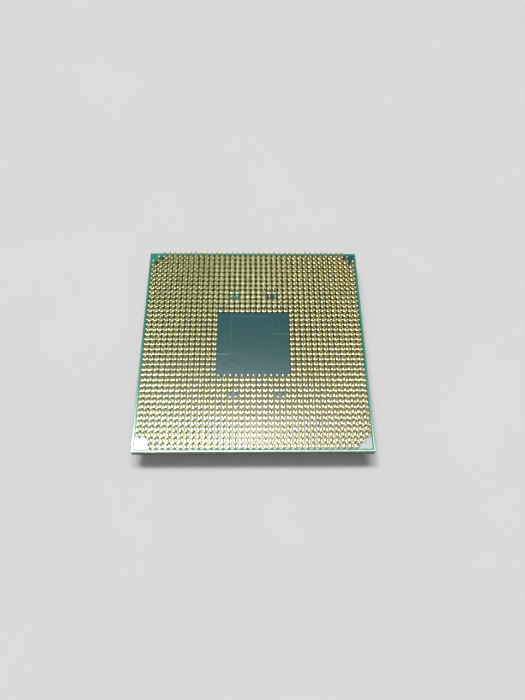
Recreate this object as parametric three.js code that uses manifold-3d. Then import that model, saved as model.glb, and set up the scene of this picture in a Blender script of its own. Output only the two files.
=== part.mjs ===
// A desktop processor in a pin grid package: a laminated board with 1331 gold pins on one side
// and a silicon die under a nickel-plated copper lid on the other.
//
// Millimetres, +Z up. The processor lies on its lid with the pins up. The origin is the centre of
// the lid's outer contact face, +X runs along the front edge and +Y runs from front to back.
// Pin one's corner is the front left one, at -X -Y.

import * as THREE from 'three';
import { mergeVertices } from 'three/addons/utils/BufferGeometryUtils.js';
import Module from 'manifold-3d';

const wasm = await Module();
wasm.setup();

// ---- Driving dimensions ----

const BOARD_SIDE = 40;
const PIN_PITCH = 1;
const PIN_HEIGHT = 1.8;
const PIN_DIAMETER = 0.3;
const BANK_PINS = 13; // the 39 x 39 grid is nine banks of 13 x 13, and the middle one is empty
const GRID_PINS = 3 * BANK_PINS;

// Thicknesses, in the order of the stack from the lid's contact face up to the pins.
const LID_HEIGHT = 3.2;
const SEALANT_THICKNESS = 0.1;
const MASK_THICKNESS = 0.03;
const BUILDUP_THICKNESS = 0.18;
const CORE_THICKNESS = 0.8;
const COPPER_THICKNESS = 0.03;

const LID_PLATEAU_SIDE = 35.6;
const LID_PLATEAU_HEIGHT = 2.2;
const LID_PLATEAU_RADIUS = 2.5;
const LID_CHAMFER = 0.3;
const LID_FLANGE_SIDE = 38.2;
const LID_FLANGE_CORNER_CUT = 3.5;
const LID_CAVITY_SIDE = 30;
const LID_CAVITY_RADIUS = 1.5;
const LID_CAVITY_DEPTH = 1.1;

const SEALANT_SIDE = 37.4;
const SEALANT_OPENING = 30.8;
const SEALANT_VENT_WIDTH = 2.5;

const DIE_WIDTH = 9.7;
const DIE_LENGTH = 22.1;
const DIE_THICKNESS = 0.78;
const BUMP_HEIGHT = 0.07; // the gap that the solder bumps hold between the board and the die
const UNDERFILL_HEIGHT = 0.45;
const UNDERFILL_FOOT = 0.7;
const UNDERFILL_CROWN = 0.1;

const COPPER_EDGE_MARGIN = 0.4;
// The gap between the back and the front copper plane. It steps round the middle of the board.
const SPLIT_WIDTH = 0.15;
const SPLIT_LEFT_X = -4.1;
const SPLIT_RIGHT_X = 3.4;
const SPLIT_LEFT_Y = -2.15;
const SPLIT_MIDDLE_Y = 5.65;
const SPLIT_RIGHT_Y = 1.95;
const BANK_GAP = 0.1; // the strip of solder mask between two neighbouring banks' pad foils

const MARKER_LEG = 2.2;
const MARKER_EDGE_MARGIN = 0.7;

const CAPACITOR_LENGTH = 1;
const CAPACITOR_WIDTH = 0.5;
const CAPACITOR_HEIGHT = 0.5;
const TERMINATION_LENGTH = 0.25;
const TERMINATION_THICKNESS = 0.02;
const CAPACITOR_COLUMNS = [7.6, 10.6]; // distances from the die's centre line
const CAPACITOR_ROWS = 5;
const CAPACITOR_ROW_PITCH = 4;

const CORNER_GAP_PINS = 2; // pins missing along each edge at every corner of the grid
const KEY_GAP_PINS = 2;
// The first pin missing in each key gap, counted from pin one's corner along +X and +Y.
const KEY_GAPS = [
  { column: 15, row: 9 },
  { column: 23, row: 9 },
  { column: 15, row: 29 },
  { column: 22, row: 29 },
];

const ARC_SEGMENTS = 6; // straight pieces in each rounded corner

// ---- Heights of the stack ----

const SEALANT_Z = LID_HEIGHT;
const LID_MASK_Z = SEALANT_Z + SEALANT_THICKNESS;
const LID_BUILDUP_Z = LID_MASK_Z + MASK_THICKNESS;
const CORE_Z = LID_BUILDUP_Z + BUILDUP_THICKNESS;
const PIN_BUILDUP_Z = CORE_Z + CORE_THICKNESS;
const COPPER_Z = PIN_BUILDUP_Z + BUILDUP_THICKNESS;
const PIN_MASK_Z = COPPER_Z + COPPER_THICKNESS;
const CAVITY_CEILING_Z = LID_HEIGHT - LID_CAVITY_DEPTH;
const DIE_Z = LID_MASK_Z - BUMP_HEIGHT - DIE_THICKNESS;

// ---- Materials ----

function material(color, roughness, metalness) {
  return new THREE.MeshStandardMaterial({ color, roughness, metalness, flatShading: true });
}

const NICKEL = material(0xb9bab6, 0.32, 1);
const SILICONE = material(0x1b1b1c, 0.75, 0);
const INDIUM = material(0xa9acae, 0.45, 1);
const SILICON = material(0x4a4d55, 0.15, 0.6);
const EPOXY = material(0x2a2a22, 0.35, 0);
const LAMINATE = material(0x6f7f4a, 0.6, 0);
const BUILDUP_FILM = material(0x4c5c38, 0.5, 0);
const SOLDER_MASK = material(0x1f6b5c, 0.25, 0);
const COPPER = material(0xb87447, 0.4, 1);
const GOLD = material(0xd9b25a, 0.28, 1);
const CERAMIC = material(0x8a6a4b, 0.5, 0);

// ---- Shapes ----

function rectangle(width, length, x = 0, y = 0) {
  const shape = new THREE.Shape();
  shape.moveTo(x - width / 2, y - length / 2);
  shape.lineTo(x + width / 2, y - length / 2);
  shape.lineTo(x + width / 2, y + length / 2);
  shape.lineTo(x - width / 2, y + length / 2);
  return shape;
}

function polygon(points) {
  return new THREE.Shape(points.map(([x, y]) => new THREE.Vector2(x, y)));
}

function roundedSquare(side, radius) {
  const half = side / 2;
  const centre = half - radius;
  const shape = new THREE.Shape();
  shape.moveTo(-centre, -half);
  shape.absarc(centre, -centre, radius, -Math.PI / 2, 0);
  shape.absarc(centre, centre, radius, 0, Math.PI / 2);
  shape.absarc(-centre, centre, radius, Math.PI / 2, Math.PI);
  shape.absarc(-centre, -centre, radius, Math.PI, 1.5 * Math.PI);
  return shape;
}

// A square about (x, y). At each corner, cutOf(signX, signY) says what is missing there: null for
// nothing, or { leg, stepped }, where stepped is a square notch and otherwise the cut is diagonal.
function notchedSquare(side, x, y, cutOf) {
  const half = side / 2;
  const points = [];
  for (const [signX, signY] of [[-1, -1], [1, -1], [1, 1], [-1, 1]]) {
    const cut = cutOf(signX, signY);
    const inner = cut ? half - cut.leg : half;
    const onSideEdge = [x + signX * half, y + signY * inner];
    const onFrontOrBackEdge = [x + signX * inner, y + signY * half];
    if (!cut) {
      points.push([x + signX * half, y + signY * half]);
      continue;
    }
    const arrivesOnSideEdge = signX * signY > 0;
    points.push(arrivesOnSideEdge ? onSideEdge : onFrontOrBackEdge);
    if (cut.stepped) points.push([x + signX * inner, y + signY * inner]);
    points.push(arrivesOnSideEdge ? onFrontOrBackEdge : onSideEdge);
  }
  return polygon(points);
}

function extrude(shape, depth) {
  return new THREE.ExtrudeGeometry(shape, {
    depth,
    bevelEnabled: false,
    curveSegments: ARC_SEGMENTS,
  });
}

// ---- Solids, for the pieces that are joined or cut ----

function solid(geometry) {
  const bare = geometry.clone();
  bare.deleteAttribute('normal');
  bare.deleteAttribute('uv');
  const merged = mergeVertices(bare);
  return new wasm.Manifold(new wasm.Mesh({
    numProp: 3,
    vertProperties: merged.attributes.position.array,
    triVerts: new Uint32Array(merged.index.array),
  }));
}

function geometryOf(manifold) {
  const mesh = manifold.getMesh();
  const geometry = new THREE.BufferGeometry();
  geometry.setAttribute('position', new THREE.BufferAttribute(mesh.vertProperties, 3));
  geometry.setIndex(new THREE.BufferAttribute(mesh.triVerts, 1));
  geometry.computeVertexNormals();
  return geometry;
}

// ---- Lid, seal and thermal solder ----

function heatSpreader() {
  // The plateau's chamfered outline, sunk into the flange so that the two join.
  const plateau = new THREE.ExtrudeGeometry(roundedSquare(LID_PLATEAU_SIDE, LID_PLATEAU_RADIUS), {
    depth: LID_PLATEAU_HEIGHT - LID_CHAMFER,
    bevelThickness: LID_CHAMFER,
    bevelSize: LID_CHAMFER,
    bevelOffset: -LID_CHAMFER,
    bevelSegments: 1,
    curveSegments: ARC_SEGMENTS,
  }).translate(0, 0, LID_CHAMFER);
  const cut = { leg: LID_FLANGE_CORNER_CUT, stepped: false };
  const flange = extrude(
    notchedSquare(LID_FLANGE_SIDE, 0, 0, () => cut),
    LID_HEIGHT - LID_PLATEAU_HEIGHT,
  ).translate(0, 0, LID_PLATEAU_HEIGHT);
  const cavity = extrude(roundedSquare(LID_CAVITY_SIDE, LID_CAVITY_RADIUS), LID_HEIGHT)
    .translate(0, 0, CAVITY_CEILING_Z);
  return geometryOf(solid(plateau).add(solid(flange)).subtract(solid(cavity)));
}

function lidSealant() {
  const cut = { leg: LID_FLANGE_CORNER_CUT, stepped: false };
  const outline = notchedSquare(SEALANT_SIDE, 0, 0, () => cut);
  const ring = solid(extrude(outline, SEALANT_THICKNESS));
  const opening = solid(
    extrude(rectangle(SEALANT_OPENING, SEALANT_OPENING), 3 * SEALANT_THICKNESS)
      .translate(0, 0, -SEALANT_THICKNESS),
  );
  const vent = solid(
    extrude(rectangle(SEALANT_VENT_WIDTH, BOARD_SIDE / 2, 0, BOARD_SIDE / 4), 3 * SEALANT_THICKNESS)
      .translate(0, 0, -SEALANT_THICKNESS),
  );
  return geometryOf(ring.subtract(opening).subtract(vent));
}

// ---- Die and what holds it to the board ----

function dieUnderfill() {
  const foot = 2 * UNDERFILL_FOOT;
  const crown = 2 * UNDERFILL_CROWN;
  const height = UNDERFILL_HEIGHT;
  const fillet = new THREE.BoxGeometry(DIE_WIDTH + foot, DIE_LENGTH + foot, height);
  const position = fillet.attributes.position;
  for (let i = 0; i < position.count; i += 1) {
    if (position.getZ(i) > 0) continue;
    position.setX(i, (Math.sign(position.getX(i)) * (DIE_WIDTH + crown)) / 2);
    position.setY(i, (Math.sign(position.getY(i)) * (DIE_LENGTH + crown)) / 2);
  }
  fillet.translate(0, 0, LID_MASK_Z - height / 2);
  return geometryOf(solid(fillet).subtract(solid(die())));
}

function die() {
  return extrude(rectangle(DIE_WIDTH, DIE_LENGTH), DIE_THICKNESS).translate(0, 0, DIE_Z);
}

// The side profile of a chip capacitor, with its two terminations standing proud of the body.
function capacitor() {
  const end = CAPACITOR_LENGTH / 2;
  const body = end - TERMINATION_LENGTH;
  const top = CAPACITOR_HEIGHT;
  const proud = TERMINATION_THICKNESS;
  const profile = polygon([
    [-end, 0], [-body, 0], [-body, proud], [body, proud], [body, 0], [end, 0],
    [end, top], [body, top], [body, top - proud], [-body, top - proud], [-body, top], [-end, top],
  ]);
  return extrude(profile, CAPACITOR_WIDTH)
    .translate(0, 0, -CAPACITOR_WIDTH / 2)
    .rotateX(Math.PI / 2);
}

// ---- Board ----

// One edge of the gap between the copper planes, from the board's left to its right: the back
// plane's edge for side +1 and the front plane's for side -1.
function splitLine(side, halfWidth) {
  const shift = (side * SPLIT_WIDTH) / 2;
  const left = SPLIT_LEFT_X - shift;
  const right = SPLIT_RIGHT_X + shift;
  const leftY = SPLIT_LEFT_Y + shift;
  const middleY = SPLIT_MIDDLE_Y + shift;
  const rightY = SPLIT_RIGHT_Y + shift;
  return [
    [-halfWidth, leftY], [left, leftY], [left, middleY],
    [right, middleY], [right, rightY], [halfWidth, rightY],
  ];
}

function copperPlane(side) {
  const half = BOARD_SIDE / 2 - COPPER_EDGE_MARGIN;
  const line = splitLine(side, half);
  return extrude(polygon([...line, [half, side * half], [-half, side * half]]), COPPER_THICKNESS);
}

function pinMask() {
  const half = BOARD_SIDE / 2;
  let sheet = solid(
    extrude(rectangle(BOARD_SIDE, BOARD_SIDE), MASK_THICKNESS).translate(0, 0, COPPER_THICKNESS),
  );
  for (const bank of BANKS) {
    const opening = extrude(bankOutline(bank), 2 * MASK_THICKNESS);
    sheet = sheet.subtract(solid(opening.translate(0, 0, COPPER_THICKNESS - MASK_THICKNESS / 2)));
  }
  // Below the sheet, the mask fills the bare margin round the copper and the split between planes.
  const margin = rectangle(BOARD_SIDE, BOARD_SIDE);
  const copperSide = BOARD_SIDE - 2 * COPPER_EDGE_MARGIN;
  margin.holes = [rectangle(copperSide, copperSide)];
  const rim = solid(extrude(margin, COPPER_THICKNESS + MASK_THICKNESS / 2));
  const reach = half - COPPER_EDGE_MARGIN / 2;
  const split = polygon([...splitLine(1, reach), ...splitLine(-1, reach).reverse()]);
  const ridge = solid(extrude(split, COPPER_THICKNESS));
  return geometryOf(sheet.add(rim).add(ridge));
}

function lidMask() {
  const face = rectangle(BOARD_SIDE, BOARD_SIDE);
  face.holes = [markerOutline()];
  return extrude(face, MASK_THICKNESS);
}

function markerOutline() {
  const near = MARKER_EDGE_MARGIN - BOARD_SIDE / 2;
  const far = near + MARKER_LEG;
  return polygon([[near, near], [far, near], [near, far]]);
}

// ---- Pins ----

const BANKS = [
  { name: 'front_left', column: 0, row: 0 },
  { name: 'front', column: 1, row: 0 },
  { name: 'front_right', column: 2, row: 0 },
  { name: 'left', column: 0, row: 1 },
  { name: 'right', column: 2, row: 1 },
  { name: 'back_left', column: 0, row: 2 },
  { name: 'back', column: 1, row: 2 },
  { name: 'back_right', column: 2, row: 2 },
];

// Pin one's corner lacks a square block of pins, and the other three corners a triangle of them.
function hasPin(column, row) {
  const fromSide = Math.min(column, GRID_PINS - 1 - column);
  const fromEnd = Math.min(row, GRID_PINS - 1 - row);
  const pinOneCorner = column < CORNER_GAP_PINS && row < CORNER_GAP_PINS;
  const cutCorner = fromSide + fromEnd < CORNER_GAP_PINS;
  const keyed = KEY_GAPS.some((gap) => (
    row === gap.row && column >= gap.column && column < gap.column + KEY_GAP_PINS
  ));
  return !pinOneCorner && !cutCorner && !keyed;
}

function pinPosition(index) {
  return (index - (GRID_PINS - 1) / 2) * PIN_PITCH;
}

function bankOutline(bank) {
  const span = BANK_PINS * PIN_PITCH;
  const side = span - BANK_GAP;
  // A corner's cut runs halfway between the last missing pins and the first present ones.
  const missing = (CORNER_GAP_PINS - 0.5) * PIN_PITCH;
  const reachPastPin = (PIN_PITCH - BANK_GAP) / 2;
  const pinOneNotch = { leg: missing + reachPastPin, stepped: true };
  const cornerCut = { leg: missing + 2 * reachPastPin, stepped: false };
  const cutOf = (signX, signY) => {
    const onBoardCorner = bank.column === 1 + signX && bank.row === 1 + signY;
    if (!onBoardCorner) return null;
    return signX < 0 && signY < 0 ? pinOneNotch : cornerCut;
  };
  return notchedSquare(side, (bank.column - 1) * span, (bank.row - 1) * span, cutOf);
}

// A bank is a thin foil of pads with its pins standing on it. Each pin is a three-sided prism
// whose section has the area of the round pin.
function pinBank(bank) {
  const sectionArea = (Math.PI * PIN_DIAMETER ** 2) / 4;
  const prismRadius = Math.sqrt(sectionArea / (0.75 * Math.sqrt(3)));
  const corners = [0, 1, 2].map((corner) => {
    const angle = Math.PI / 2 + (corner * 2 * Math.PI) / 3;
    return [prismRadius * Math.cos(angle), prismRadius * Math.sin(angle)];
  });
  const rootDepth = MASK_THICKNESS / 2; // sunk in the foil, so that the two join
  const pin = extrude(polygon(corners), rootDepth + PIN_HEIGHT);
  const pinSolid = solid(pin.translate(0, 0, MASK_THICKNESS - rootDepth));
  let joined = solid(extrude(bankOutline(bank), MASK_THICKNESS));
  for (let column = 0; column < BANK_PINS; column += 1) {
    for (let row = 0; row < BANK_PINS; row += 1) {
      const gridColumn = bank.column * BANK_PINS + column;
      const gridRow = bank.row * BANK_PINS + row;
      if (!hasPin(gridColumn, gridRow)) continue;
      const place = [pinPosition(gridColumn), pinPosition(gridRow), 0];
      joined = joined.add(pinSolid.translate(place));
    }
  }
  return geometryOf(joined);
}

// ---- Assembly ----

const processor = new THREE.Group();

function addPiece(name, geometry, pieceMaterial, x = 0, y = 0, z = 0) {
  const mesh = new THREE.Mesh(geometry, pieceMaterial);
  mesh.name = name;
  mesh.position.set(x, y, z);
  processor.add(mesh);
}

const boardFace = rectangle(BOARD_SIDE, BOARD_SIDE);
const dieFace = rectangle(DIE_WIDTH, DIE_LENGTH);

addPiece('heat_spreader', heatSpreader(), NICKEL);
addPiece('lid_sealant', lidSealant(), SILICONE, 0, 0, SEALANT_Z);
addPiece(
  'thermal_solder',
  extrude(dieFace, DIE_Z - CAVITY_CEILING_Z),
  INDIUM,
  0,
  0,
  CAVITY_CEILING_Z,
);
addPiece('cpu_die', die(), SILICON);
addPiece('die_underfill', dieUnderfill(), EPOXY);

for (const [sideName, sign] of [['left', -1], ['right', 1]]) {
  let number = 0;
  for (const distance of CAPACITOR_COLUMNS) {
    for (let row = 0; row < CAPACITOR_ROWS; row += 1) {
      number += 1;
      const y = (row - (CAPACITOR_ROWS - 1) / 2) * CAPACITOR_ROW_PITCH;
      addPiece(
        `capacitor_${sideName}_${number}`,
        capacitor(),
        CERAMIC,
        sign * distance,
        y,
        LID_MASK_Z - CAPACITOR_HEIGHT,
      );
    }
  }
}

addPiece('solder_mask_lid_side', lidMask(), SOLDER_MASK, 0, 0, LID_MASK_Z);
addPiece('pin_one_marker', extrude(markerOutline(), MASK_THICKNESS), GOLD, 0, 0, LID_MASK_Z);
addPiece(
  'buildup_layers_lid_side',
  extrude(boardFace, BUILDUP_THICKNESS),
  BUILDUP_FILM,
  0,
  0,
  LID_BUILDUP_Z,
);
addPiece('substrate_core', extrude(boardFace, CORE_THICKNESS), LAMINATE, 0, 0, CORE_Z);
addPiece(
  'buildup_layers_pin_side',
  extrude(boardFace, BUILDUP_THICKNESS),
  BUILDUP_FILM,
  0,
  0,
  PIN_BUILDUP_Z,
);
addPiece('copper_plane_back', copperPlane(1), COPPER, 0, 0, COPPER_Z);
addPiece('copper_plane_front', copperPlane(-1), COPPER, 0, 0, COPPER_Z);
addPiece('solder_mask_pin_side', pinMask(), SOLDER_MASK, 0, 0, COPPER_Z);

for (const bank of BANKS) {
  addPiece(`pin_bank_${bank.name}`, pinBank(bank), GOLD, 0, 0, PIN_MASK_Z);
}

export default processor;
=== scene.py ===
"""The looks of a desktop processor in a pin grid package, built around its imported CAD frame.

Lengths in this file are millimetres unless a name says otherwise, and become metres when a mesh is
made. The processor lies on its lid, which is at z = 0, with its pins pointing up.
"""

import math

import bpy
import numpy as np
from mathutils import Matrix, Vector
from mathutils.geometry import tessellate_polygon


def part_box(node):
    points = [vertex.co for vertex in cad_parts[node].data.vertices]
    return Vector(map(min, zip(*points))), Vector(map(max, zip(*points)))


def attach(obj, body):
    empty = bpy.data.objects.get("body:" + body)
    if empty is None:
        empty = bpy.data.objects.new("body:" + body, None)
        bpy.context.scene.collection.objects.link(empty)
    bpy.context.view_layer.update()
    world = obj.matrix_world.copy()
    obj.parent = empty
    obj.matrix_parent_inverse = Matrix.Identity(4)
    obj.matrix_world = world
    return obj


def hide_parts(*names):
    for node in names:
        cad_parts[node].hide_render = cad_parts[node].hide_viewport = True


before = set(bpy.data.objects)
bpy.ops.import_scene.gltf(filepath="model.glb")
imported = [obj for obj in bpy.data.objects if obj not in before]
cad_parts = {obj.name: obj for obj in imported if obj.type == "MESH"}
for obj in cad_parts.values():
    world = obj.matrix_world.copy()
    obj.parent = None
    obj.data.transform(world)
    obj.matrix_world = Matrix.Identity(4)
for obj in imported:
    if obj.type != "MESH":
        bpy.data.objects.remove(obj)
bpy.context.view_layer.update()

MM = 0.001
SEED = 1331

# ---------------------------------------------------------------- sizes read from the frame


def node_box(name):
    """A CAD node's lowest and highest corners, in millimetres."""
    low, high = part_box(name)
    return np.array(low) / MM, np.array(high) / MM


BOARD_HALF = node_box("substrate_core")[1][0]
PIN_FACE_Z = node_box("solder_mask_pin_side")[1][2]
PIN_HEIGHT = node_box("pin_bank_front")[1][2] - PIN_FACE_Z
LID_MASK_Z = node_box("solder_mask_lid_side")[0][2]
FLANGE_HALF = node_box("heat_spreader")[1][0]
FLANGE_FACE_Z = node_box("heat_spreader")[1][2]  # the lid's glued face
SEALANT_HALF = node_box("lid_sealant")[1][0]
DIE_HALF = node_box("cpu_die")[1][:2]

PIN_PITCH = 1.0
BANK_PINS = 13  # in each row and each column of a bank
GRID_PINS = 3 * BANK_PINS

# ---------------------------------------------------------------- mesh helpers


def add_piece(name, vertices, faces, material, node, slot, crease_deg=40):
    """Makes a mesh in millimetres into a piece that stands for a CAD node."""
    mesh = bpy.data.meshes.new(name)
    mesh.from_pydata((np.asarray(vertices, float) * MM).tolist(), [], faces)
    mesh.polygons.foreach_set("use_smooth", [True] * len(mesh.polygons))
    mesh.set_sharp_from_angle(angle=math.radians(crease_deg))
    mesh.materials.append(material)
    mesh.update()
    piece = bpy.data.objects.new(name, mesh)
    bpy.context.scene.collection.objects.link(piece)
    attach(piece, "root")
    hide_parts(node)
    return piece


def point_attribute(piece, name, values):
    """Gives each vertex of a piece a number that its material can read."""
    layer = piece.data.attributes.new(name, "FLOAT", "POINT")
    layer.data.foreach_set("value", np.asarray(values, np.float32))


def ring_faces(first, second, count):
    """Quads that join two closed rings of vertices, given the index of each ring's first one."""
    return [
        (first + i, first + (i + 1) % count, second + (i + 1) % count, second + i)
        for i in range(count)
    ]


def loft(rings):
    """Joins rings of equal count, from the first to the last, and caps both ends."""
    count = len(rings[0])
    last = (len(rings) - 1) * count
    faces = []
    for start in range(0, last, count):
        faces += ring_faces(start, start + count, count)
    faces.append(tuple(reversed(range(count))))
    faces.append(tuple(range(last, last + count)))
    return np.concatenate(rings), faces


def loft_down(rings):
    """As loft(), for rings that go down instead of up."""
    vertices, faces = loft(rings)
    return vertices, [tuple(reversed(face)) for face in faces]


EIGHTH_TURN_TANGENT = math.tan(math.radians(22.5))


def outline(half, cut, radius, z, corner_points=6, side_points=12):
    """A square's ring with 45 degree cut corners of that leg, rounded where the edges meet."""
    near_side = half - radius
    near_cut = half - cut - radius * EIGHTH_TURN_TANGENT
    quarter = []
    for start, centre in ((0, (near_side, near_cut)), (45, (near_cut, near_side))):
        for i in range(corner_points + 1):
            angle = math.radians(start + 45 * i / corner_points)
            quarter.append(
                (centre[0] + radius * math.cos(angle), centre[1] + radius * math.sin(angle))
            )
    end = quarter[-1][0]
    for i in range(1, side_points):
        quarter.append((end - 2 * end * i / side_points, half))
    ring = []
    for turn in range(4):
        cos = round(math.cos(turn * math.pi / 2))
        sin = round(math.sin(turn * math.pi / 2))
        ring += [(x * cos - y * sin, x * sin + y * cos, z) for x, y in quarter]
    return np.array(ring)


def rounded(half, radius, z, **points):
    """A rounded square's ring, with the same count of vertices as outline()."""
    return outline(half, radius * (1 - EIGHTH_TURN_TANGENT), radius, z, **points)


def rectangle_ring(half_x, half_y, radius, z, corner_points=4, side_points=40):
    """A rounded rectangle's ring."""
    centre_x, centre_y = half_x - radius, half_y - radius
    arcs = []
    for sign_x, sign_y, start in ((1, 1, 0), (-1, 1, 90), (-1, -1, 180), (1, -1, 270)):
        arc = []
        for i in range(corner_points + 1):
            angle = math.radians(start + 90 * i / corner_points)
            x = sign_x * centre_x + radius * math.cos(angle)
            y = sign_y * centre_y + radius * math.sin(angle)
            arc.append((x, y, z))
        arcs.append(arc)
    ring = []
    for arc, next_arc in zip(arcs, arcs[1:] + arcs[:1]):
        ring += arc
        start, end = np.array(arc[-1]), np.array(next_arc[0])
        ring += [tuple(start + (end - start) * i / side_points) for i in range(1, side_points)]
    return np.array(ring)


def grow(ring, amount):
    """Moves each vertex of a ring outward, square to the ring, by an amount along x and y."""
    along = np.roll(ring, -1, 0) - np.roll(ring, 1, 0)
    outward = np.stack([along[:, 1], -along[:, 0], np.zeros(len(ring))], -1)
    outward /= np.linalg.norm(outward, axis=1, keepdims=True)
    return ring + outward * np.reshape(amount, (-1, 1))


# ---------------------------------------------------------------- node trees


def rgba(red, green, blue):
    return (red, green, blue, 1.0)


class Nodes:
    """A node tree, with short ways to add the nodes that this file needs."""

    def __init__(self, tree):
        self.tree = tree

    def feed(self, socket, value):
        if isinstance(value, bpy.types.NodeSocket):
            self.tree.links.new(value, socket)
        else:
            socket.default_value = value

    def node(self, kind, inputs=None, **settings):
        made = self.tree.nodes.new(kind)
        for key, value in settings.items():
            setattr(made, key, value)
        for key, value in (inputs or {}).items():
            self.feed(made.inputs[key], value)
        return made

    def number(self, operation, first, second=0.0):
        inputs = {0: first, 1: second}
        return self.node("ShaderNodeMath", inputs, operation=operation).outputs[0]

    def vector(self, operation, first, second=(0, 0, 0), output="Vector"):
        inputs = {0: first, 1: second}
        return self.node("ShaderNodeVectorMath", inputs, operation=operation).outputs[output]

    def axis(self, vector, letter):
        return self.node("ShaderNodeSeparateXYZ", {0: vector}).outputs[letter]

    def remap(self, value, low, high, to_low=0.0, to_high=1.0, **settings):
        """The value that lies between to_low and to_high as value lies between low and high."""
        inputs = {
            "Value": value,
            "From Min": low,
            "From Max": high,
            "To Min": to_low,
            "To Max": to_high,
        }
        return self.node("ShaderNodeMapRange", inputs, **settings).outputs["Result"]


class Look(Nodes):
    """A material's node tree. Its patterns are laid out in millimetres."""

    def __init__(self, name):
        self.material = bpy.data.materials.new(name)
        self.material.use_nodes = True
        super().__init__(self.material.node_tree)
        self.surface = self.tree.nodes["Principled BSDF"]
        metres = self.node("ShaderNodeTexCoord").outputs["Object"]
        self.place = self.scaled(metres, (1 / MM,) * 3)

    def scaled(self, vector, scale):
        return self.node("ShaderNodeMapping", {"Vector": vector, "Scale": scale}).outputs["Vector"]

    def noise(self, size, detail=3, stretch=None):
        """A cloudy pattern from 0 to 1 whose features are about size millimetres wide."""
        place = self.place
        if stretch:
            place = self.scaled(place, tuple(1 / share for share in stretch))
        inputs = {"Vector": place, "Scale": 1 / size, "Detail": detail, "Roughness": 0.5}
        return self.node("ShaderNodeTexNoise", inputs).outputs["Fac"]

    def vary(self, noise, low, high):
        """A number from low to high that follows a noise, which mostly lies from 0.3 to 0.7."""
        return self.remap(noise, 0.3, 0.7, low, high)

    def mix(self, factor, first, second):
        """A colour between two colours."""
        node = self.node("ShaderNodeMix", data_type="RGBA")
        self.feed(node.inputs["Factor"], factor)
        self.feed(node.inputs[6], first)
        self.feed(node.inputs[7], second)
        return node.outputs[2]

    def attribute(self, name):
        return self.node("ShaderNodeAttribute", attribute_name=name).outputs["Fac"]

    def bump(self, height, depth, below=None):
        """A normal for a relief whose full height is depth millimetres."""
        inputs = {"Height": height, "Distance": depth * MM, "Strength": 1.0}
        if below is not None:
            inputs["Normal"] = below
        return self.node("ShaderNodeBump", inputs).outputs["Normal"]

    def finish(self, **inputs):
        for key, value in inputs.items():
            self.feed(self.surface.inputs[key.replace("_", " ")], value)
        return self.material


# ---------------------------------------------------------------- materials


def solder_mask_look():
    """Glossy teal lacquer: darker over copper, with painted shade in the gaps between the pads, where
    the pins shade it.
    """
    look = Look("green_solder_mask")
    mottle = look.noise(3.0, detail=4)
    over_copper = look.mix(mottle, rgba(0.018, 0.080, 0.085), rgba(0.024, 0.090, 0.096))
    over_bare = look.mix(mottle, rgba(0.025, 0.22, 0.155), rgba(0.04, 0.27, 0.19))
    base = look.mix(look.attribute("bare"), over_copper, over_bare)
    # painted shade: the mask between the pins is darkened to stand in for the shade that the pins cast
    # on it
    base = look.mix(look.attribute("painted_pin_shade"), base, rgba(0.02, 0.028, 0.008))
    wave = look.bump(look.noise(2.2, detail=1), 0.0008)
    return look.finish(
        Base_Color=base,
        Roughness=look.vary(look.noise(0.9), 0.11, 0.15),
        Normal=look.bump(look.noise(0.05, detail=2), 0.0002, wave),
    )


def pin_gold_look():
    """Gold plate whose tone changes a little from pin to pin."""
    look = Look("pin_gold")
    tone = look.attribute("tone")
    return look.finish(
        Base_Color=look.mix(tone, rgba(0.75, 0.73, 0.41), rgba(0.85, 0.61, 0.29)),
        Metallic=0.8,
        Roughness=look.vary(look.noise(0.12), 0.23, 0.34),
        Normal=look.bump(look.noise(0.02, detail=2), 0.0002),
    )


def pad_gold_look():
    """A gold-plated pad with grey solder around the pin, under a clear film of flux."""
    look = Look("pad_gold")
    solder = look.attribute("solder")
    plate = look.mix(look.attribute("tone"), rgba(0.29, 0.38, 0.14), rgba(0.35, 0.32, 0.09))
    return look.finish(
        Base_Color=look.mix(solder, plate, rgba(0.46, 0.46, 0.35)),
        Metallic=look.remap(solder, 0.0, 1.0, 0.4, 0.6),
        Roughness=look.vary(look.noise(0.12), 0.15, 0.25),
        Normal=look.bump(look.noise(0.02, detail=2), 0.0006),
        Coat_Weight=1.0,
        Coat_IOR=1.65,
        Coat_Roughness=0.14,
    )


def nickel_look():
    """Satin nickel plate with fine rolling lines."""
    look = Look("nickel_lid")
    lines = look.noise(0.05, stretch=(60, 1, 1))
    cloud = look.noise(4.0, detail=4)
    grain = look.bump(look.noise(0.08, detail=2), 0.0006)
    return look.finish(
        Base_Color=look.mix(cloud, rgba(0.60, 0.60, 0.58), rgba(0.70, 0.69, 0.67)),
        Metallic=1.0,
        Roughness=look.vary(lines, 0.24, 0.36),
        Normal=look.bump(lines, 0.0008, grain),
    )


def layer_look(name, dark, light, thread):
    """The cut edge of a laminate, with the ends of its threads, which are about that wide."""
    look = Look(name)
    threads = look.noise(thread, stretch=(2.2, 2.2, 0.7))
    return look.finish(
        Base_Color=look.mix(look.remap(threads, 0.42, 0.62), dark, light),
        Roughness=look.vary(threads, 0.45, 0.7),
        Normal=look.bump(threads, 0.006),
    )


def silicone_look():
    """Black rubber, matte and slightly dimpled."""
    look = Look("black_silicone")
    cloud = look.noise(0.4, detail=4)
    return look.finish(
        Base_Color=look.mix(cloud, rgba(0.012, 0.012, 0.013), rgba(0.028, 0.028, 0.03)),
        Roughness=look.vary(cloud, 0.45, 0.65),
        Normal=look.bump(look.noise(0.15), 0.01),
    )


def indium_look():
    """Soft grey solder, dull and a little crumpled."""
    look = Look("indium_solder")
    cloud = look.noise(0.5, detail=4)
    return look.finish(
        Base_Color=look.mix(cloud, rgba(0.48, 0.49, 0.50), rgba(0.62, 0.62, 0.61)),
        Metallic=1.0,
        Roughness=look.vary(cloud, 0.38, 0.55),
        Normal=look.bump(look.noise(0.12), 0.006),
    )


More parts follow.
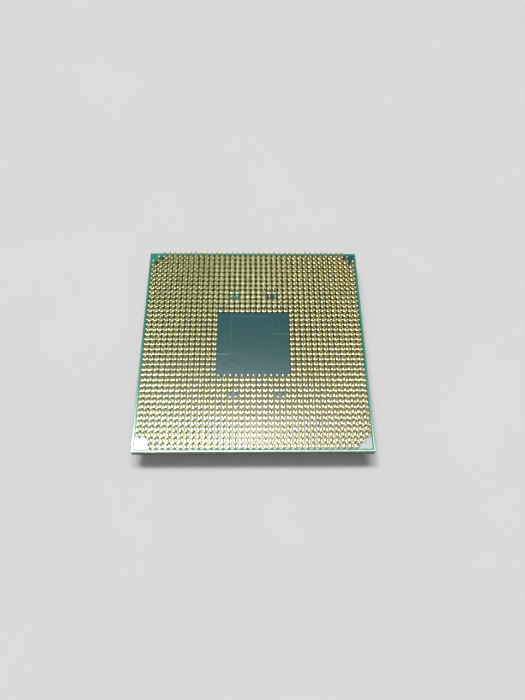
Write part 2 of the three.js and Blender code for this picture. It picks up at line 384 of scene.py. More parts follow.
def silicon_look():
    """Blue-grey silicon with fine dicing lines."""
    look = Look("silicon_die")
    lines = look.noise(0.04, stretch=(1, 1, 30))
    cloud = look.noise(2.5)
    return look.finish(
        Base_Color=look.mix(cloud, rgba(0.10, 0.11, 0.14), rgba(0.15, 0.16, 0.19)),
        Metallic=0.6,
        Roughness=look.vary(lines, 0.12, 0.26),
        Normal=look.bump(lines, 0.0008),
    )


def underfill_look():
    """Amber black resin, glossy and full of fine filler."""
    look = Look("epoxy_underfill")
    filler = look.noise(0.03, detail=2)
    return look.finish(
        Base_Color=look.mix(filler, rgba(0.018, 0.015, 0.010), rgba(0.045, 0.038, 0.022)),
        Roughness=look.vary(look.noise(0.6), 0.22, 0.36),
        Normal=look.bump(look.noise(0.25), 0.004),
    )


def capacitor_look():
    """Brown ceramic, with dull tin where the attribute says so."""
    look = Look("capacitor_ceramic")
    tin = look.attribute("tin")
    cloud = look.noise(0.15, detail=4)
    ceramic = look.mix(cloud, rgba(0.20, 0.115, 0.055), rgba(0.29, 0.175, 0.09))
    metal = look.mix(cloud, rgba(0.50, 0.50, 0.49), rgba(0.66, 0.65, 0.63))
    return look.finish(
        Base_Color=look.mix(tin, ceramic, metal),
        Metallic=tin,
        Roughness=look.vary(cloud, 0.32, 0.46),
        Normal=look.bump(cloud, 0.004),
    )


def copper_look():
    """Etched copper foil."""
    look = Look("copper")
    cloud = look.noise(1.5, detail=5)
    return look.finish(
        Base_Color=look.mix(cloud, rgba(0.72, 0.33, 0.20), rgba(0.82, 0.42, 0.27)),
        Metallic=1.0,
        Roughness=look.vary(cloud, 0.3, 0.5),
        Normal=look.bump(look.noise(0.03, detail=2), 0.001),
    )


SOLDER_MASK = solder_mask_look()
PIN_GOLD = pin_gold_look()
PAD_GOLD = pad_gold_look()
NICKEL = nickel_look()
LAMINATE = layer_look("glass_laminate", rgba(0.10, 0.12, 0.045), rgba(0.30, 0.31, 0.16), 0.05)
BUILDUP = layer_look("buildup_film", rgba(0.035, 0.05, 0.02), rgba(0.085, 0.10, 0.045), 0.03)
SILICONE = silicone_look()
INDIUM = indium_look()
SILICON = silicon_look()
UNDERFILL = underfill_look()
CAPACITOR = capacitor_look()
COPPER = copper_look()

# ---------------------------------------------------------------- the pin grid

# The column and row of the first pin that each key gap leaves out. The next one in the row is out too.
KEY_GAPS = [(15, 9), (23, 9), (15, 29), (22, 29)]


def has_pin(column, row):
    """Whether the grid has a pin there, counted from pin one's corner, which is front left."""
    from_side = min(column, GRID_PINS - 1 - column)
    from_end = min(row, GRID_PINS - 1 - row)
    in_corner = from_side + from_end < 2
    in_pin_one_corner = column < 2 and row < 2
    in_middle = column // BANK_PINS == 1 and row // BANK_PINS == 1
    in_key = any(row == key_row and 0 <= column - first < 2 for first, key_row in KEY_GAPS)
    return not (in_corner or in_pin_one_corner or in_middle or in_key)


# ---------------------------------------------------------------- solder mask, pin side

COPPER_MARGIN = 0.4  # from the board's edge to its outer copper
MARGIN_SOFTNESS = 0.17
MASK_RELIEF = 0.02  # how far the mask sinks at the board's edge, where there is no copper under it
MASK_EDGE_RADIUS = 0.03

# The split between the two copper planes, as a path across the board.
SPLIT_CORNERS = [
    (-BOARD_HALF, -2.15), (-4.1, -2.15), (-4.1, 5.65), (3.4, 5.65), (3.4, 1.95), (BOARD_HALF, 1.95),
]
SPLIT_RADIUS = 0.3
SPLIT_WIDTH = 0.13
SPLIT_SOFTNESS = 0.08
SPLIT_RELIEF = 0.004
SPLIT_SHOW = 0.3  # how much of the bare colour shows through the thick mask in the split

# The outer copper is cleared in the back left corner and in one key gap.
CLEARED_CORNER_LEG = 3.0
CLEARED_CORNER_SOFTNESS = 0.5
CLEARED_KEY_MIDDLE = (-3.5, 10.0)
CLEARED_KEY_HALF = (1.3, 0.62)
CLEARED_KEY_REACH = 1.4  # where the colour has faded out, as a multiple of CLEARED_KEY_HALF
CLEARED_KEY_SHOW = 0.8

# The mask's mesh has lines MASK_STEP apart, and finer ones on both sides of each feature.
MASK_STEP = 0.25
FEATURE_REACH = 0.36
FEATURE_LINES = 19
LEAST_STEP = 0.015


def smooth_step(value):
    value = np.clip(value, 0, 1)
    return value * value * (3 - 2 * value)


def soft_edge(inside, softness):
    """1 inside an edge and 0 outside it, given how far inside each point is."""
    return smooth_step(inside / softness + 0.5)


def distance_to_path(x, y, path):
    """The distance of each point (x, y) from a path of straight pieces."""
    nearest = np.full(x.shape, np.inf)
    for start, end in zip(path[:-1], path[1:]):
        run = end - start
        along = ((x - start[0]) * run[0] + (y - start[1]) * run[1]) / (run @ run)
        along = np.clip(along, 0, 1)
        gap = np.hypot(x - start[0] - along * run[0], y - start[1] - along * run[1])
        nearest = np.minimum(nearest, gap)
    return nearest


def rounded_path(corners, radius, steps=5):
    """A path of straight pieces whose right-angled corners are rounded."""
    corners = [np.array(corner, float) for corner in corners]
    points = [corners[0]]
    for before, corner, after in zip(corners[:-2], corners[1:-1], corners[2:]):
        inward = (corner - before) / np.linalg.norm(corner - before)
        outward = (after - corner) / np.linalg.norm(after - corner)
        centre = corner + radius * (outward - inward)
        for i in range(steps + 1):
            angle = math.pi / 2 * i / steps
            points.append(centre + radius * (inward * math.sin(angle) - outward * math.cos(angle)))
    points.append(corners[-1])
    return points


SPLIT_PATH = rounded_path(SPLIT_CORNERS, SPLIT_RADIUS)


def margin_share(x, y):
    """1 in the bare margin round the copper and 0 inside it."""
    from_edge = BOARD_HALF - np.maximum(abs(x), abs(y))
    return soft_edge(COPPER_MARGIN - from_edge, MARGIN_SOFTNESS)


def split_share(x, y):
    """1 in the split between the copper planes and 0 away from it."""
    return soft_edge(SPLIT_WIDTH / 2 - distance_to_path(x, y, SPLIT_PATH), SPLIT_SOFTNESS)


def cleared_share(x, y):
    """1 where the outer copper is cleared and 0 elsewhere."""
    from_corner = (BOARD_HALF + x) + (BOARD_HALF - y)
    corner = soft_edge(CLEARED_CORNER_LEG - from_corner, CLEARED_CORNER_SOFTNESS)
    key_x = abs(x - CLEARED_KEY_MIDDLE[0]) / CLEARED_KEY_HALF[0]
    key_y = abs(y - CLEARED_KEY_MIDDLE[1]) / CLEARED_KEY_HALF[1]
    key = smooth_step(CLEARED_KEY_REACH - np.maximum(key_x, key_y))
    return np.maximum(corner, CLEARED_KEY_SHOW * key)


def painted_pin_shade_share(x, y):
    """1 in the cells of the grid that have a pin, where the mask gets painted shade from the pins, and
    0 in its bare places.
    """
    half = GRID_PINS / 2 * PIN_PITCH
    column = np.clip(np.floor(x / PIN_PITCH + half), 0, GRID_PINS - 1).astype(int)
    row = np.clip(np.floor(y / PIN_PITCH + half), 0, GRID_PINS - 1).astype(int)
    inside = (abs(x) < half) & (abs(y) < half)
    pins = np.vectorize(has_pin)(column, row)
    return (inside & pins).astype(float)


def grid_lines(half, features):
    """Coordinates from -half to half, with extra lines on both sides of each feature."""
    lines = list(np.arange(-half, half + MASK_STEP / 2, MASK_STEP))
    for feature in features:
        lines += [feature + way for way in np.linspace(-FEATURE_REACH, FEATURE_REACH, FEATURE_LINES)]
    lines = sorted(line for line in lines if -half <= line <= half)
    kept = [lines[0]]
    for line in lines[1:]:
        if line - kept[-1] > LEAST_STEP:
            kept.append(line)
    kept[-1] = half
    return np.array(kept)


def grid_faces(width, length):
    """The quads of a grid that has length rows of width vertices."""
    return [
        (r * width + c, r * width + c + 1, (r + 1) * width + c + 1, (r + 1) * width + c)
        for r in range(length - 1)
        for c in range(width - 1)
    ]


def grid_rim(width, length):
    """The indices of the grid's outermost vertices, once round from the first one."""
    return (
        [*range(width - 1)]
        + [r * width + width - 1 for r in range(length - 1)]
        + [(length - 1) * width + c for c in range(width - 1, 0, -1)]
        + [r * width for r in range(length - 1, 0, -1)]
    )


def pin_side_mask():
    """The lacquer as one relief with a rounded edge and a flat underside."""
    half = BOARD_HALF - MASK_EDGE_RADIUS
    copper_half = BOARD_HALF - COPPER_MARGIN
    corner_xs = sorted({x for x, _ in SPLIT_CORNERS[1:-1]})
    corner_ys = sorted({y for _, y in SPLIT_CORNERS})
    xs = grid_lines(half, [-copper_half, copper_half, *corner_xs])
    ys = grid_lines(half, [-copper_half, copper_half, *corner_ys])
    x, y = np.meshgrid(xs, ys)
    margin = margin_share(x, y)
    split = split_share(x, y)
    z = PIN_FACE_Z - np.maximum(MASK_RELIEF * margin, SPLIT_RELIEF * split)
    vertices = np.stack([x, y, z], -1).reshape(-1, 3)
    faces = grid_faces(len(xs), len(ys))
    inner = grid_rim(len(xs), len(ys))
    count = len(inner)
    rim = vertices[inner]
    rim_z = PIN_FACE_Z - MASK_RELIEF
    underside_z = node_box("solder_mask_pin_side")[0][2]
    for outward, ring_z in (
        (0.02, rim_z - 0.006), (MASK_EDGE_RADIUS, rim_z - 0.02), (MASK_EDGE_RADIUS, underside_z),
    ):
        ring = rim.copy()
        ring[:, :2] *= (half + outward) / half
        ring[:, 2] = ring_z
        start = len(vertices)
        outer = list(range(start, start + count))
        vertices = np.concatenate([vertices, ring])
        for i in range(count):
            after = (i + 1) % count
            faces.append((inner[after], inner[i], outer[i], outer[after]))
        inner = outer
    faces.append(tuple(reversed(inner)))
    piece = add_piece(
        "pin_side_mask", vertices, faces, SOLDER_MASK, "solder_mask_pin_side", "green_solder_mask", 80
    )
    bare = np.maximum.reduce([margin, SPLIT_SHOW * split, cleared_share(x, y)])
    # the bare colour, and the painted shade between the pins, which the rim does not get
    for name, share, past_rim in (("bare", bare, 1.0), ("painted_pin_shade", painted_pin_shade_share(x, y), 0.0)):
        values = np.full(len(vertices), past_rim)
        values[: share.size] = share.reshape(-1)
        point_attribute(piece, name, values)


pin_side_mask()

# ---------------------------------------------------------------- pins and their solder

# Radii and heights above the mask. The pin's profile runs from its foot's middle to its tip, and the
# solder's from its inside under the mask, round its rim and up to the pin. Both go ROOT_DEPTH deep.
PIN_RADIUS = 0.15
FOOT_RADIUS = 0.20
ROOT_DEPTH = 0.02
PIN_PROFILE = [
    (0.0, -ROOT_DEPTH), (FOOT_RADIUS, -ROOT_DEPTH), (FOOT_RADIUS, 0.063), (0.175, 0.071),
    (0.158, 0.089), (PIN_RADIUS, 0.135), (PIN_RADIUS, 0.75), (PIN_RADIUS, 1.25),
    (PIN_RADIUS, 1.715), (0.146, 1.753), (0.132, 1.778), (0.11, 1.789), (0.07, 1.7965),
    (0.0, PIN_HEIGHT),
]
SOLDER_PROFILE = [
    (0.19, -ROOT_DEPTH), (0.477, -ROOT_DEPTH), (0.475, 0.0), (0.455, 0.0145), (0.43, 0.0278),
    (0.39, 0.0424), (0.345, 0.0536), (0.30, 0.0615), (0.26, 0.0661), (0.225, 0.0678),
    (0.19, 0.0685),
]
SOLDER_FULL = 0.26  # the solder reaches out to this radius, then thins out over SOLDER_FADE
SOLDER_FADE = 0.08
ROUND_SEGMENTS = 16

LEAN_SPREAD = 0.006  # the standard deviation of the pins' slopes
PLACE_SPREAD = 0.006  # the standard deviation of the solder's offsets
TIP_SINK = 0.012  # the most that a tip lies below its full height
LEAST_SOLDER_SIZE = 0.97  # as a share of the profile's size
SOLDER_SIZE_SPREAD = 0.05
# The column and row of each bent pin, and how far its tip has moved.
BENT_PINS = {(32, 38): (0.16, 0.05), (36, 37): (0.05, -0.03), (5, 20): (-0.04, 0.0)}

TONE_MIDDLE = 0.42
TONE_SLOPE = 0.45  # the tone grows a little redder towards +X
TONE_SPREAD = 0.3


def turned(profile, segments):
    """The vertices and faces of a profile turned about the z axis. A point on the axis is a pole."""
    vertices, faces, rings = [], [], []
    for radius, z in profile:
        rings.append(len(vertices))
        if radius == 0:
            vertices.append((0, 0, z))
            continue
        for i in range(segments):
            angle = 2 * math.pi * i / segments
            vertices.append((radius * math.cos(angle), radius * math.sin(angle), z))
    is_closed = profile[0][0] > 0
    for k in range(len(profile) if is_closed else len(profile) - 1):
        k_next = (k + 1) % len(profile)
        first, second = rings[k], rings[k_next]
        for i in range(segments):
            j = (i + 1) % segments
            if profile[k][0] == 0:
                faces.append((first, second + j, second + i))
            elif profile[k_next][0] == 0:
                faces.append((first + i, first + j, second))
            else:
                faces.append((first + i, first + j, second + j, second + i))
    return np.array(vertices, float), faces


def joined_copies(faces, copies):
    """One mesh of many copies of a form, given its faces and each copy's vertices."""
    count = len(copies[0])
    all_faces = []
    for k in range(len(copies)):
        all_faces += [tuple(i + k * count for i in face) for face in faces]
    return np.concatenate(copies), all_faces


def grid_place(column, row):
    middle = (GRID_PINS - 1) / 2
    return np.array([column - middle, row - middle]) * PIN_PITCH


def placed_pin(template, column, row, lean, sink):
    """A pin's vertices: it leans, its tip is a little low, and a few pins are bent."""
    pin = template.copy()
    pin[:, 2] -= sink * TIP_SINK * (pin[:, 2] > PIN_HEIGHT / 2)
    rise = np.clip(pin[:, 2] / PIN_HEIGHT, 0, 1)[:, None]
    bend = np.array(BENT_PINS.get((column, row), (0, 0)))
    pin[:, :2] += lean * rise * PIN_HEIGHT + bend * rise**2 + grid_place(column, row)
    pin[:, 2] += PIN_FACE_Z
    return pin


def placed_solder(template, column, row, offset, swell):
    """A pad's vertices: its size and place vary a little."""
    solder = template.copy()
    solder[:, :2] *= LEAST_SOLDER_SIZE + SOLDER_SIZE_SPREAD * swell
    solder[:, :2] += grid_place(column, row) + offset
    solder[:, 2] += PIN_FACE_Z
    return solder


def tones(column, shares):
    """The plating's tone at a column, varied by random shares from 0 to 1."""
    middle = TONE_MIDDLE + TONE_SLOPE * (column / (GRID_PINS - 1) - 0.5)
    return [middle + TONE_SPREAD * (share - 0.5) for share in shares]


def banks():
    """Each bank's name, with the column and row of each of its pins. The middle has no bank."""
    for bank_row, end in enumerate(("front", "", "back")):
        for bank_column, side in enumerate(("left", "", "right")):
            places = [
                (column, row)
                for row in range(bank_row * BANK_PINS, (bank_row + 1) * BANK_PINS)
                for column in range(bank_column * BANK_PINS, (bank_column + 1) * BANK_PINS)
                if has_pin(column, row)
            ]
            if places:
                yield "_".join(word for word in (end, side) if word), places


def pin_banks():
    """Every bank is two pieces: its pins, and their solder on its pads."""
    rng = np.random.default_rng(SEED)
    pin, pin_faces = turned(PIN_PROFILE, ROUND_SEGMENTS)
    solder, solder_faces = turned(SOLDER_PROFILE, ROUND_SEGMENTS)
    radius = np.hypot(solder[:, 0], solder[:, 1])
    wetted = 1 - smooth_step((radius - SOLDER_FULL) / SOLDER_FADE)
    for bank, places in banks():
        pins, solders, pin_tones, solder_tones = [], [], [], []
        for column, row in places:
            lean = rng.normal(0, LEAN_SPREAD, 2)
            offset = rng.normal(0, PLACE_SPREAD, 2)
            sink, swell, *tone_shares = rng.random(4)
            pins.append(placed_pin(pin, column, row, lean, sink))
            solders.append(placed_solder(solder, column, row, offset, swell))
            pin_tone, solder_tone = tones(column, tone_shares)
            pin_tones.append(np.full(len(pin), pin_tone))
            solder_tones.append(np.full(len(solder), solder_tone))
        node = "pin_bank_" + bank
        vertices, faces = joined_copies(pin_faces, pins)
        piece = add_piece("pins_" + bank, vertices, faces, PIN_GOLD, node, "gold_plate", 50)
        point_attribute(piece, "tone", np.concatenate(pin_tones))
        vertices, faces = joined_copies(solder_faces, solders)
        piece = add_piece("solder_" + bank, vertices, faces, PAD_GOLD, node, "gold_plate", 50)
        point_attribute(piece, "tone", np.concatenate(solder_tones))
        point_attribute(piece, "solder", np.tile(wetted, len(solders)))


pin_banks()

# ---------------------------------------------------------------- laminate

LAMINATE_CORNER_RADIUS = 0.12
LEAST_WEAR = 0.2


def laminate_layer(name, node, material, slot, wear, seed):
    """A slab of the board whose routed edge wavers a little."""
    rng = np.random.default_rng(seed)
    low, high = node_box(node)
    rings = []
    for z in np.linspace(low[2], high[2], 5):
        ring = rounded(BOARD_HALF, LAMINATE_CORNER_RADIUS, z, corner_points=3, side_points=110)
        inward = wear * rng.uniform(LEAST_WEAR, 1, len(ring))
        reach = np.abs(ring[:, :2]).max(1)
        ring[:, :2] *= ((reach - inward) / reach)[:, None]
        rings.append(ring)
    add_piece(name, *loft(rings), material, node, slot)


laminate_layer("board_core", "substrate_core", LAMINATE, "glass_laminate", 0.03, 1)
laminate_layer("board_buildup_pin_side", "buildup_layers_pin_side", BUILDUP, "buildup_film", 0.018, 2)
laminate_layer("board_buildup_lid_side", "buildup_layers_lid_side", BUILDUP, "buildup_film", 0.018, 3)

# ---------------------------------------------------------------- outer copper, inside the board

for plane in ("copper_plane_back", "copper_plane_front"):
    for material_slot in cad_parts[plane].material_slots:
        material_slot.material = COPPER

# ---------------------------------------------------------------- mask and marker, lid side

MARKER_LEG = 2.2
MARKER_START = -19.3  # both coordinates of the marker's square corner
MARKER_RADIUS = 0.08


def flat_faces(vertices, outer, hole, upward):
    """Triangles between an outer ring and a hole's ring, both given as vertex indices."""
    indices = [*outer, *hole]
    flat = [[Vector((*vertices[i][:2], 0)) for i in ring] for ring in (outer, hole)]
    faces = []
    for triangle in tessellate_polygon(flat):
        a, b, c = (indices[corner] for corner in triangle)
        first, second = vertices[b] - vertices[a], vertices[c] - vertices[a]
        faces_up = first[0] * second[1] - first[1] * second[0] > 0
        faces.append((a, b, c) if faces_up == upward else (c, b, a))
    return faces


def sheet(outer_rings, hole, low, high):
    """A plate between two heights: rings down its outer edge, and a hole straight through it."""
    vertices = np.concatenate(outer_rings + [hole + (0, 0, high), hole + (0, 0, low)])
    count, hole_count = len(outer_rings[0]), len(hole)
    last_ring = (len(outer_rings) - 1) * count
    high_hole = len(outer_rings) * count
    low_hole = high_hole + hole_count
    faces = []
    for start in range(0, last_ring, count):
        faces += ring_faces(start + count, start, count)
    faces += ring_faces(high_hole, low_hole, hole_count)
    for ring_start, hole_start, upward in ((0, high_hole, True), (last_ring, low_hole, False)):
        outer = range(ring_start, ring_start + count)
        inner = range(hole_start, hole_start + hole_count)
        faces += flat_faces(vertices, outer, inner, upward)
    return vertices, faces


def marker_outline(shrink, z, corner_points=5):
    """The right-angled triangle that marks pin one, with rounded corners."""
    corners = np.array([(0, 0), (MARKER_LEG, 0), (0, MARKER_LEG)], float)
    middle = MARKER_LEG * (1 - math.sqrt(0.5))  # the centre of the triangle's inscribed circle
    corners = middle + (corners - middle) * (1 - shrink / middle)
    ring = []
    for i in range(3):
        before, corner, after = corners[i - 1], corners[i], corners[(i + 1) % 3]
        to_before = (before - corner) / np.linalg.norm(before - corner)
        to_after = (after - corner) / np.linalg.norm(after - corner)
        bisector = to_before + to_after
        bisector /= np.linalg.norm(bisector)
        half_angle = math.acos(float(to_before @ bisector))
        centre = corner + bisector * MARKER_RADIUS / math.sin(half_angle)
        sweep = math.pi / 2 - half_angle
        for k in range(corner_points):
            angle = sweep * (2 * k / (corner_points - 1) - 1)
            cos, sin = math.cos(angle), math.sin(angle)
            outward_x = -bisector[0] * cos + bisector[1] * sin
            outward_y = -bisector[0] * sin - bisector[1] * cos
            x = centre[0] + MARKER_RADIUS * outward_x
            y = centre[1] + MARKER_RADIUS * outward_y
            ring.append((MARKER_START + x, MARKER_START + y, z))
    return np.array(ring)


def lid_side_mask():
    """The lacquer on the lid's side, with a window for the marker and a rounded edge."""
    low, high = LID_MASK_Z, node_box("solder_mask_lid_side")[1][2]
    corner_radius = 0.1
    outer = [
        rectangle_ring(BOARD_HALF - inset, BOARD_HALF - inset, corner_radius, z, side_points=1)
        for inset, z in ((0, high), (0, low + 0.012), (0.004, low + 0.004), (0.015, low))
    ]
    vertices, faces = sheet(outer, marker_outline(0.0, 0.0), low, high)
    piece = add_piece(
        "lid_side_mask", vertices, faces, SOLDER_MASK, "solder_mask_lid_side", "green_solder_mask"
    )
    point_attribute(piece, "bare", np.zeros(len(vertices)))
    point_attribute(piece, "painted_pin_shade", np.zeros(len(vertices)))


def pin_one_marker():
    """The plated triangle, whose face lies a little deeper than the mask's."""
    low, high = LID_MASK_Z, node_box("pin_one_marker")[1][2]
    heights = ((0.0, high), (0.0, low + 0.02), (0.01, low + 0.01), (0.05, low + 0.006))
    vertices, faces = loft_down([marker_outline(shrink, z) for shrink, z in heights])
    piece = add_piece("marker_triangle", vertices, faces, PIN_GOLD, "pin_one_marker", "gold_plate")
    point_attribute(piece, "tone", np.full(len(vertices), 0.8))


lid_side_mask()
pin_one_marker()

# ---------------------------------------------------------------- what the lid covers

DIE_CORNER_RADIUS = 0.05
FLANGE_CUT = 3.5  # the leg of the cut corners of the lid's flange
FLANGE_CORNER_RADIUS = 0.5


def wander(rng, count, waves=12):
    """A smooth random curve from 0 to 1 round a closed ring."""
    angle = np.linspace(0, 2 * math.pi, count, endpoint=False)
    curve = sum(
        np.sin(k * angle + rng.uniform(0, 2 * math.pi)) / math.sqrt(k) for k in range(2, waves + 2)
    )
    return (curve - curve.min()) / (curve.max() - curve.min())


def die():
    """The silicon, with a fine bevel round both faces."""
    low, high = node_box("cpu_die")
    bevel = 0.02
    stations = (
        (bevel, high[2]), (0, high[2] - bevel), (0, low[2] + bevel), (bevel, low[2]), (1.0, low[2]),
    )
    rings = [
        rectangle_ring(DIE_HALF[0] - inset, DIE_HALF[1] - inset, DIE_CORNER_RADIUS, z)
        for inset, z in stations
    ]
    add_piece("die", *loft_down(rings), SILICON, "cpu_die", "silicon_die", 30)


def thermal_solder():
    """The solder is squeezed out a little past the die, by an uneven amount."""
    rng = np.random.default_rng(SEED + 1)
    low, high = node_box("thermal_solder")
    inset, corner_radius = 0.02, 0.15
    least_squeeze, squeeze_spread = 0.04, 0.10
    plain = rectangle_ring(DIE_HALF[0] - inset, DIE_HALF[1] - inset, corner_radius, 0)
    squeeze = least_squeeze + squeeze_spread * wander(rng, len(plain))
    rings = []
    for share, bulge in ((0.0, 0.6), (0.15, 0.85), (0.4, 1.0), (0.65, 0.8), (0.85, 0.35), (1.0, 0.0)):
        z = low[2] + share * (high[2] - low[2])
        rings.append(grow(plain, bulge * squeeze) + (0, 0, z))
    add_piece("solder_layer", *loft(rings), INDIUM, "thermal_solder", "indium_solder")


def underfill():
    """Resin that climbs the die's sides in a hollow curve from an uneven foot on the board."""
    rng = np.random.default_rng(SEED + 2)
    low, high = node_box("die_underfill")
    die_face_z = node_box("cpu_die")[1][2]
    film = 0.01  # how thick the resin is where its climb ends
    least_foot, least_climb = 0.75, 0.8  # as shares of the most that the frame leaves room for
    hollowness = 0.9
    steps = 9
    plain = rectangle_ring(*DIE_HALF, DIE_CORNER_RADIUS, 0)
    foot_share = least_foot + (1 - least_foot) * wander(rng, len(plain))
    climb_share = least_climb + (1 - least_climb) * wander(rng, len(plain))
    foot = (high[0] - DIE_HALF[0]) * foot_share
    climb = (high[2] - low[2]) * climb_share
    rings = [plain + (0, 0, die_face_z)]
    for k in range(steps + 1):
        angle = k / steps * math.pi / 2
        ring = grow(plain, film + (foot - film) * (1 - math.cos(angle)) ** hollowness)
        ring[:, 2] = high[2] - climb * (1 - math.sin(angle))
        rings.append(ring)
    add_piece("underfill", *loft(rings), UNDERFILL, "die_underfill", "epoxy_underfill", 50)


def sealant():
    """The silicone bead: pressed flat between lid and board, with wavy sides and one vent."""
    rng = np.random.default_rng(SEED + 3)
    low, high = node_box("lid_sealant")
    opening = 15.4
    vent_half = 1.4
    waver = 0.16
    bulge = 0.035
    side_points = 60
    waves = 40
    outer = outline(SEALANT_HALF, FLANGE_CUT, FLANGE_CORNER_RADIUS, 0, side_points=side_points)
    inner = rounded(opening, 0.8, 0, side_points=side_points)
    inner_waver = waver * wander(rng, len(outer), waves)
    outer_waver = waver * wander(rng, len(outer), waves)
    in_vent = (outer[:, 1] > 0) & (np.abs(outer[:, 0]) < vent_half)
    first = np.flatnonzero(in_vent).max() + 1
    bottom, middle, top = ((0, 0, z) for z in (low[2], (low[2] + high[2]) / 2, high[2]))
    sections = []
    for k in range(len(outer)):
        i = (first + k) % len(outer)
        if in_vent[i]:
            continue
        across = (outer[i] - inner[i]) / np.linalg.norm(outer[i] - inner[i])
        start = inner[i] + across * inner_waver[i]
        end = outer[i] - across * outer_waver[i]
        sections.append(np.array([
            start + bottom,
            start - bulge * across + middle,
            start + top,
            end + top,
            end + bulge * across + middle,
            end + bottom,
        ]))
    add_piece("silicone_bead", *loft(sections), SILICONE, "lid_sealant", "black_silicone", 80)


def capacitors():
    """Small ceramic blocks with tinned ends, on the board beside the die."""
    rng = np.random.default_rng(SEED + 4)
    half_length, half_side = 0.5, 0.25
    tin_end = 0.25  # where the tin ends, from the block's middle
    sunk = 0.02  # how far the ceramic lies below the tin
    swell = 0.03
    half_stations = [
        (tin_end, sunk, 0), (tin_end, 0.006, 1), (tin_end + 0.02, 0.0, 1),
        (half_length - 0.04, 0.0, 1), (half_length - 0.01, 0.02, 1), (half_length, 0.05, 1),
    ]
    stations = [(-x, inset, tin) for x, inset, tin in reversed(half_stations)] + half_stations
    for side in ("left", "right"):
        for number in range(1, 11):
            node = f"capacitor_{side}_{number}"
            low, high = node_box(node)
            size = 1 - swell * rng.random(2)
            rings, tin = [], []
            for x, inset, is_tin in stations:
                half_width, half_height = (half_side - inset) * size
                section = rectangle_ring(half_width, half_height, 0.05, 0, 3, 2)
                ring = np.stack([np.full(len(section), x), section[:, 0], section[:, 1]], -1)
                rings.append(ring + (low + high) / 2)
                tin += [is_tin] * len(ring)
            piece = add_piece(
                f"chip_{side}_{number}", *loft(rings), CAPACITOR, node, "capacitor_ceramic"
            )
            point_attribute(piece, "tin", tin)


die()
thermal_solder()
underfill()
sealant()
capacitors()

# ---------------------------------------------------------------- lid


def lid():
    """The lid: its outer face and chamfer, its sides, the step up to its flange, and its cavity."""
    body, body_radius = 17.8, 2.5
    step_z = 2.2
    cavity, ceiling_z = 15.0, 2.1
    rings = [rounded(*station) for station in (
        (9.0, 1.0, 0.0), (14.0, 1.8, 0.0), (16.9, 2.1, 0.0), (17.44, 2.2, 0.0),
        (17.49, 2.22, 0.008), (17.55, 2.27, 0.05), (17.72, 2.43, 0.22), (17.77, 2.48, 0.27),
        (body, body_radius, 0.33),
        (body, body_radius, 1.2),
        (body, body_radius, step_z - 0.16),
        (body + 0.02, body_radius, step_z - 0.08),
        (body + 0.08, body_radius + 0.04, step_z - 0.02),
        (body + 0.16, body_radius + 0.1, step_z),
    )]
    rings += [outline(half, FLANGE_CUT, FLANGE_CORNER_RADIUS, z) for half, z in (
        (FLANGE_HALF - 0.16, step_z),
        (FLANGE_HALF - 0.06, step_z + 0.02),
        (FLANGE_HALF, step_z + 0.1),
        (FLANGE_HALF, FLANGE_FACE_Z - 0.1),
        (FLANGE_HALF - 0.03, FLANGE_FACE_Z - 0.03),
        (FLANGE_HALF - 0.1, FLANGE_FACE_Z),
    )]
    rings += [rounded(*station) for station in (
        (cavity + 0.08, 1.6, FLANGE_FACE_Z),
        (cavity, 1.5, FLANGE_FACE_Z - 0.08),
        (cavity, 1.5, ceiling_z + 0.1),
        (cavity - 0.1, 1.4, ceiling_z),
        (10.0, 1.0, ceiling_z),
    )]
    add_piece("lid", *loft(rings), NICKEL, "heat_spreader", "nickel_lid", 30)


lid()

# ---------------------------------------------------------------- floor, light and camera

FLOOR_HALF_METRES = 3.0


def floor():
    """A plain pale floor."""
    half = FLOOR_HALF_METRES
    mesh = bpy.data.meshes.new("floor")
    corners = [(-half, -half, 0), (half, -half, 0), (half, half, 0), (-half, half, 0)]
    mesh.from_pydata(corners, [], [(0, 1, 2, 3)])
    look = Look("floor")
    look.finish(
        Base_Color=look.mix(look.noise(30.0), rgba(0.60, 0.60, 0.60), rgba(0.63, 0.63, 0.63)),
        Roughness=0.8,
    )
    mesh.materials.append(look.material)
    ground = bpy.data.objects.new("floor", mesh)
    bpy.context.scene.collection.objects.link(ground)


# The light's directions are slopes from straight up: towards +X, and towards +Y.
LEAST_HEIGHT = 0.02  # keeps the slopes finite at the horizon and below it
LAMP_MIDDLE = (-0.02, 0.295, 0)
LAMP_REACH = (0.30, 0.03, 0)  # from its middle to its edges
LAMP_FADE = 0.05  # the lamp's light falls by a factor e over this beyond its edges
LAMP_SIDE_FADE = 1.7  # the lamp is brighter towards -X
LAMP_SIDE_LIMIT = 0.5  # and changes no more beyond this
LAMP_RADIANCE = 28
ROOM_RADIANCE = 0.12
FRONT_RADIANCE = 0.42  # of the soft light from the front
# Where the soft light from the front starts, and where it is full: its back, its front and its sides.
FRONT_BACK = (0.1, -0.35)
FRONT_FRONT = (-2.5, -1.2)
FRONT_SIDES = (1.6, 0.6)
BACKDROP = rgba(0.71, 0.71, 0.71)


def lamp_glow(nodes, slope):
    """1 in the lamp's middle, fading out beyond its edges."""
    from_middle = nodes.vector("ABSOLUTE", nodes.vector("SUBTRACT", slope, LAMP_MIDDLE))
    beyond = nodes.vector("MAXIMUM", nodes.vector("SUBTRACT", from_middle, LAMP_REACH))
    distance = nodes.vector("LENGTH", beyond, output="Value")
    across = nodes.number("MAXIMUM", nodes.axis(slope, "X"), -LAMP_SIDE_LIMIT)
    across = nodes.number("MINIMUM", across, LAMP_SIDE_LIMIT)
    side_fall = nodes.number("MULTIPLY", across, LAMP_SIDE_FADE)
    fall = nodes.number("ADD", nodes.number("DIVIDE", distance, LAMP_FADE), side_fall)
    return nodes.number("EXPONENT", nodes.number("MULTIPLY", fall, -1.0))


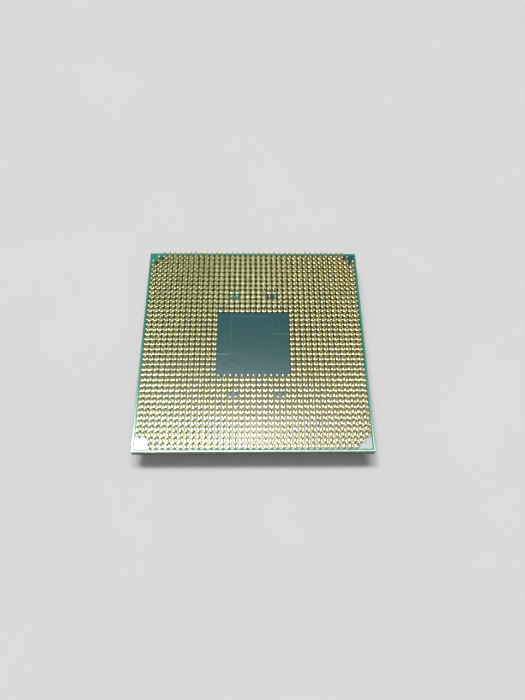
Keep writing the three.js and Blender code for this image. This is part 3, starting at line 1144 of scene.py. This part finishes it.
def front_glow(nodes, slope):
    """1 in the middle of the soft light from the front, and 0 outside it."""
    toward_back = nodes.axis(slope, "Y")
    sideways = nodes.number("ABSOLUTE", nodes.axis(slope, "X"))
    glow = 1.0
    for value, (start, full) in (
        (toward_back, FRONT_BACK), (toward_back, FRONT_FRONT), (sideways, FRONT_SIDES),
    ):
        share = nodes.remap(value, start, full, interpolation_type="SMOOTHSTEP")
        glow = nodes.number("MULTIPLY", share, glow)
    return glow


def studio_light():
    """A long soft lamp above and behind the processor, in a dim room with a pale backdrop."""
    world = bpy.data.worlds.new("studio")
    bpy.context.scene.world = world
    world.use_nodes = True
    nodes = Nodes(world.node_tree)
    direction = nodes.node("ShaderNodeTexCoord").outputs["Generated"]
    height = nodes.number("MAXIMUM", nodes.axis(direction, "Z"), LEAST_HEIGHT)
    slope = nodes.vector("MULTIPLY", nodes.vector("DIVIDE", direction, height), (1, 1, 0))
    lamp = nodes.number("MULTIPLY", lamp_glow(nodes, slope), LAMP_RADIANCE)
    front = nodes.number("MULTIPLY", front_glow(nodes, slope), FRONT_RADIANCE)
    radiance = nodes.number("ADD", front, nodes.number("ADD", lamp, ROOM_RADIANCE))
    light = nodes.tree.nodes["Background"]
    nodes.feed(light.inputs["Strength"], radiance)
    nodes.feed(light.inputs["Color"], rgba(1, 1, 1))
    backdrop = nodes.node("ShaderNodeBackground", {"Color": BACKDROP})
    is_seen = nodes.node("ShaderNodeLightPath").outputs["Is Camera Ray"]
    shaders = {0: is_seen, 1: light.outputs[0], 2: backdrop.outputs[0]}
    mixed = nodes.node("ShaderNodeMixShader", shaders).outputs[0]
    nodes.feed(nodes.tree.nodes["World Output"].inputs["Surface"], mixed)


def camera():
    """The camera's place above the board's front edge, with +X to the right in its picture."""
    elevation = math.radians(62.45)
    yaw = math.radians(-2.497)
    roll = math.radians(2.198)
    target = Vector((1.605, -1.283, PIN_FACE_Z))
    distance = 99.38
    back = Vector((
        math.sin(yaw) * math.cos(elevation),
        -math.cos(yaw) * math.cos(elevation),
        math.sin(elevation),
    ))
    level = Vector((math.cos(yaw), math.sin(yaw), 0))
    steep = back.cross(level)
    right = level * math.cos(roll) + steep * math.sin(roll)
    up = steep * math.cos(roll) - level * math.sin(roll)
    place = Matrix.Translation((target + back * distance) * MM)
    turn = Matrix((right, up, back)).transposed().to_4x4()
    data = bpy.data.cameras.new("camera")
    data.lens = 28.68
    data.sensor_width = 36
    data.clip_start = 0.001  # metres, as is clip_end
    data.clip_end = 10
    view = bpy.data.objects.new("camera", data)
    view.matrix_world = place @ turn
    bpy.context.scene.collection.objects.link(view)
    bpy.context.scene.camera = view


floor()
studio_light()
camera()
bpy.context.scene.view_settings.view_transform = "Standard"
